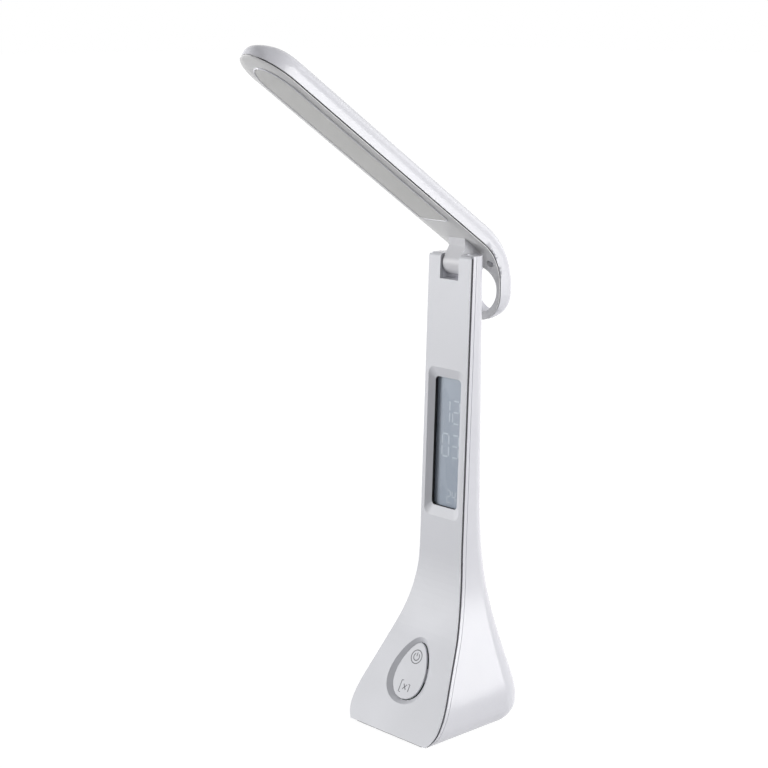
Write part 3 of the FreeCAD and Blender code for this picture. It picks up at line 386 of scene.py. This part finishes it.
px, py = symbols["power"]
qx, qy = symbols["mode"]
size = symbols["modeSize"]
short = size * symbols["rightShare"]
leftEnd, rightEnd = qx - size + symbols["leftHook"], qx + size - symbols["rightHook"]
crossLeft, crossRight, crossHigh = qx + symbols["crossLeft"], qx + symbols["crossRight"], symbols["crossHigh"]
ringEnd = 360 - 360 / symbols["ringSteps"]
strokes = [  # points, and whether the stroke closes
    (arcPoints(px, py, symbols["ring"], 0, ringEnd, symbols["ringSteps"]), True),
    (arcPoints(px, py, symbols["arc"], symbols["arcFrom"], symbols["arcTo"], symbols["arcSteps"]), False),
    ([(px, py + high) for high in symbols["stem"]], False),
    ([(leftEnd, qy + size), (qx - size, qy + size), (qx - size, qy - size), (leftEnd, qy - size)], False),
    ([(rightEnd, qy + short), (qx + size, qy + short), (qx + size, qy - short)], False),
    ([(crossLeft, qy + crossHigh), (crossRight, qy - crossHigh)], False),
    ([(crossRight, qy + crossHigh), (crossLeft, qy - crossHigh)], False),
]
ink = bmesh.new()
for points, closed in strokes:
    stroke(ink, points, symbols["line"], symbols["thick"], closed)
bmesh.ops.recalc_face_normals(ink, faces=ink.faces)
inkMesh = bpy.data.meshes.new("key_symbols")
ink.to_mesh(inkMesh)
ink.free()
inkMesh.transform(facePlace(symbols["faceY"], symbols["z"], symbols["lean"], symbols["depth"]))
newPiece("key_symbols", inkMesh, "rocker", greyInk)
print("key symbols:", len(strokes), "strokes")


def beadTree(name, material):  # a round bead along each path that comes in
    tree = newTree(name, {"Path": "NodeSocketGeometry", "Bead Radius": "NodeSocketFloat"})
    source = add(tree, "NodeGroupInput")
    path = add(tree, "GeometryNodeMeshToCurve", None, {"Mesh": source.outputs["Path"]})
    ring = add(tree, "GeometryNodeCurvePrimitiveCircle", {"Resolution": 10},
               {"Radius": source.outputs["Bead Radius"]})
    tube = add(tree, "GeometryNodeCurveToMesh", {"Fill Caps": True},
               {"Curve": path.outputs[0], "Profile Curve": ring.outputs[0]})
    smooth = add(tree, "GeometryNodeSetShadeSmooth", None, {0: tube.outputs[0]})
    closeTree(tree, smooth.outputs[0], material)
    return tree


def bead(name, paths, closed, radius, body, material):  # paths in millimetres
    verts, edges = [], []
    for path in paths:
        first = len(verts)
        verts += [(x * mm, y * mm, z * mm) for x, y, z in path]
        edges += [(first + i, first + i + 1) for i in range(len(path) - 1)]
        if closed:
            edges.append((len(verts) - 1, first))
    mesh = bpy.data.meshes.new(name)
    mesh.from_pydata(verts, edges, [])
    result = runTree(name, beadTree(name, material), mesh, {"Bead Radius": radius * mm})
    shape = bmesh.new()
    shape.from_mesh(result)
    bmesh.ops.recalc_face_normals(shape, faces=shape.faces)
    shape.to_mesh(result)
    shape.free()
    newPiece(name, result, body, material)


stand = {  # the stand's outline, as the solids have it, and the dark bead of painted shade in the groove beside its front
    "height": 280.0, "column": 16.8, "widest": 36.4, "widestZ": 11.0, "corner": 13.0, "shoulder": 48.0,
    "flank": 16.4, "blend": 160.0,
    "frontY": 4.7, "lean": 2.16, "footY": -45.6, "slope": 29.6, "frontBlend": 107.0,
    "shadeBeadInset": 0.75, "shadeBeadSetback": 1.7, "shadeBeadRadius": 0.62, "lowZ": 1.4, "highZ": 278.6, "steps": 90,
}


def standHalfWidth(z):  # a corner, a shoulder, a straight flank, a blend and the straight column
    a = math.radians(stand["flank"])
    flankX = stand["widest"] - stand["shoulder"] * (1 - math.cos(a))
    flankZ = stand["widestZ"] + stand["shoulder"] * math.sin(a)
    kneeZ = flankZ + (flankX - stand["column"]) / math.tan(a)
    reach = stand["blend"] * math.tan(a / 2)
    columnZ = kneeZ + reach
    drop = stand["widestZ"] - z
    if drop >= 0:
        return stand["widest"] - stand["corner"] + math.sqrt(max(stand["corner"] ** 2 - drop ** 2, 0))
    if z <= flankZ:
        return stand["widest"] - stand["shoulder"] + math.sqrt(stand["shoulder"] ** 2 - drop ** 2)
    if z <= kneeZ - reach * math.cos(a):
        return flankX - (z - flankZ) * math.tan(a)
    if z >= columnZ:
        return stand["column"]
    return stand["column"] + stand["blend"] - math.sqrt(stand["blend"] ** 2 - (columnZ - z) ** 2)


def standFrontY(z):  # the leaning front, a blend and the sloping foot
    lean, slope = math.radians(stand["lean"]), math.radians(stand["slope"])
    fall = stand["frontY"] - stand["height"] * math.tan(lean) - stand["footY"]
    kneeZ = fall / (math.tan(slope) - math.tan(lean))
    kneeY = stand["footY"] + kneeZ * math.tan(slope)
    reach = stand["frontBlend"] * math.tan((slope - lean) / 2)
    upperY, upperZ = kneeY + reach * math.sin(lean), kneeZ + reach * math.cos(lean)
    lowerZ = kneeZ - reach * math.cos(slope)
    if z >= upperZ:
        return stand["frontY"] - (stand["height"] - z) * math.tan(lean)
    if z <= lowerZ:
        return stand["footY"] + z * math.tan(slope)
    centreY = upperY - stand["frontBlend"] * math.cos(lean)
    centreZ = upperZ + stand["frontBlend"] * math.sin(lean)
    return centreY + math.sqrt(stand["frontBlend"] ** 2 - (z - centreZ) ** 2)


shadeBeadPaths = []
for side in (-1, 1):
    path = []
    for i in range(stand["steps"] + 1):
        z = stand["lowZ"] + (stand["highZ"] - stand["lowZ"]) * i / stand["steps"]
        x, y = standHalfWidth(z) - stand["shadeBeadInset"], standFrontY(z) + stand["shadeBeadSetback"]
        path.append((side * x, y, z))
    shadeBeadPaths.append(path)
# a dark bead in the groove beside the front: painted shade
bead("panel_shade_bead", shadeBeadPaths, False, stand["shadeBeadRadius"], "stand", shadeBeadRubber)


def partingPlace(x, mark, up):  # mark runs along the parting line from the bend's start
    full = math.radians(arm["turn"])
    turn = min(max(mark / arm["bend"], 0), full)
    rest = mark - turn * arm["bend"]
    along = -arm["bendStart"] + arm["bend"] * math.sin(turn) + rest * math.cos(turn) + up * math.sin(turn)
    high = arm["rise"] - arm["bend"] * (1 - math.cos(turn)) - rest * math.sin(turn) + up * math.cos(turn)
    return armPlace(x, along, high)


tipMark = arm["bendStart"] - arm["reach"]
endMark = arm["bend"] * math.radians(arm["turn"]) + arm["drop"]
noseMark, loopMark = tipMark + arm["nose"], endMark - arm["loopEnd"]
noseLength, loopLength = arm["nose"] - arm["shadeBeadInset"], arm["loopEnd"] - arm["shadeBeadInset"]
half = arm["half"] - arm["shadeBeadInset"]
halfRound = arcPoints(0, 0, 1, 0, 180, arm["roundSteps"])
sides = arm["sideSteps"]
marks = [noseMark + (loopMark - noseMark) * i / sides for i in range(1, sides)]
edge = [(half * x, noseMark - noseLength * y) for x, y in halfRound]
edge += [(-half, m) for m in marks]
edge += [(-half * x, loopMark + loopLength * y) for x, y in halfRound]
edge += [(half, m) for m in reversed(marks)]
# a dark bead in the arm's parting groove: painted shade
bead("arm_shade_bead", [[partingPlace(x, m, -arm["shadeBeadDrop"]) for x, m in edge]], True, arm["shadeBeadRadius"],
     "arm", shadeBeadRubber)

half, corner = arm["stripHalf"], arm["stripCorner"]
straight = arm["stripEnd"] - arm["stripNose"]
cornerAlong = -arm["stripStart"] - corner
rim = [(half * x, -straight - arm["stripNose"] * y) for x, y in halfRound]
rim += arcPoints(-half + corner, cornerAlong, corner, 180, 90, arm["cornerSteps"])
rim += arcPoints(half - corner, cornerAlong, corner, 90, 0, arm["cornerSteps"])
bead("diffuser_rim", [[armPlace(x, along, arm["rimHeight"]) for x, along in rim]], True, arm["rimRadius"],
     "arm", glossAbs)
print("seals and rim made")


def seenRays(tree):  # 1 for camera, glossy and transmission rays
    light = add(tree, "ShaderNodeLightPath")
    direct = add(tree, "ShaderNodeMath", {"operation": "MAXIMUM"},
                 {0: light.outputs["Is Camera Ray"], 1: light.outputs["Is Glossy Ray"]})
    seen = add(tree, "ShaderNodeMath", {"operation": "MAXIMUM"},
               {0: direct.outputs[0], 1: light.outputs["Is Transmission Ray"]})
    return seen.outputs[0]


sweep = {  # white paper under and behind the lamp, in metres; it glows more with distance
    "size": 30.0, "tone": "#C8C8C9", "seenTone": "#8C8C8C", "near": 0.25, "far": 0.9, "glow": (0.90, 1.0),
}
half = sweep["size"] / 2
corners = [(-half, -half, 0), (half, -half, 0), (half, half, 0), (-half, half, 0)]
floorMesh = bpy.data.meshes.new("floor")
floorMesh.from_pydata(corners, [], [(0, 1, 2, 3)])
floor = bpy.data.objects.new("floor", floorMesh)
scene.collection.objects.link(floor)
paper = bpy.data.materials.new("white_paper_sweep")  # matt paper that stays white to the camera
paper.use_nodes = True
tree = paper.node_tree
tree.nodes.clear()
seen = seenRays(tree)
matt = add(tree, "ShaderNodeBsdfDiffuse", {"Color": linear(sweep["tone"])})
dimMatt = add(tree, "ShaderNodeBsdfDiffuse", {"Color": linear(sweep["seenTone"])})
place = add(tree, "ShaderNodeTexCoord")
away = add(tree, "ShaderNodeVectorMath", {"operation": "LENGTH"}, {0: place.outputs["Object"]})
level = add(tree, "ShaderNodeMapRange", {"From Min": sweep["near"], "From Max": sweep["far"],
                                         "To Min": sweep["glow"][0], "To Max": sweep["glow"][1]},
            {"Value": away.outputs["Value"]})
glow = add(tree, "ShaderNodeEmission", {"Color": (1, 1, 1, 1)}, {"Strength": level.outputs[0]})
both = add(tree, "ShaderNodeAddShader", None, {0: dimMatt.outputs[0], 1: glow.outputs[0]})
mixed = add(tree, "ShaderNodeMixShader", None, {0: seen, 1: matt.outputs[0], 2: both.outputs[0]})
add(tree, "ShaderNodeOutputMaterial", None, {"Surface": mixed.outputs[0]})
floorMesh.materials.append(paper)

studio = {"ambientTone": "#F6F6FA", "ambient": 0.24}
world = bpy.data.worlds.new("studio")
scene.world = world
world.use_nodes = True
tree = world.node_tree
tree.nodes.clear()
seen = seenRays(tree)
ambient = add(tree, "ShaderNodeBackground", {"Color": linear(studio["ambientTone"]),
                                             "Strength": studio["ambient"]})
white = add(tree, "ShaderNodeBackground", {"Color": (1, 1, 1, 1), "Strength": 1.0})
mixed = add(tree, "ShaderNodeMixShader", None, {0: seen, 1: ambient.outputs[0], 2: white.outputs[0]})
add(tree, "ShaderNodeOutputWorld", None, {"Surface": mixed.outputs[0]})

softboxes = {  # place, aim, size in metres, watts
    "keyBox": ((-1.5, -1.5, 0.42), (0, 0, 0.2), 1.2, 41),
    "rearBox": ((1.55, 0.95, 0.42), (0, 0, 0.18), 1.2, 26),
    "backBox": ((0.05, 1.45, 0.68), (0, -0.07, 0.33), 0.6, 1.2),
}
for name, (place, aim, size, watts) in softboxes.items():
    lamp = bpy.data.lights.new(name, "AREA")
    lamp.size = size
    lamp.energy = watts
    holder = bpy.data.objects.new(name, lamp)
    holder.location = place
    holder.rotation_euler = (Vector(aim) - Vector(place)).to_track_quat("-Z", "Y").to_euler()
    scene.collection.objects.link(holder)

viewpoint = {  # where the photograph was taken from, in millimetres
    "place": (720.64, -726.67, 416.86), "aim": (-0.7125, 0.6716, -0.2033), "lens": 84.0, "sensor": 36.0,
}
lens = bpy.data.cameras.new("viewpoint")
lens.lens = viewpoint["lens"]
lens.sensor_width = viewpoint["sensor"]
camera = bpy.data.objects.new("viewpoint", lens)
camera.location = Vector(viewpoint["place"]) * mm
camera.rotation_euler = Vector(viewpoint["aim"]).to_track_quat("-Z", "Y").to_euler()
scene.collection.objects.link(camera)
scene.camera = camera
scene.view_settings.view_transform = "Standard"
print("studio ready")
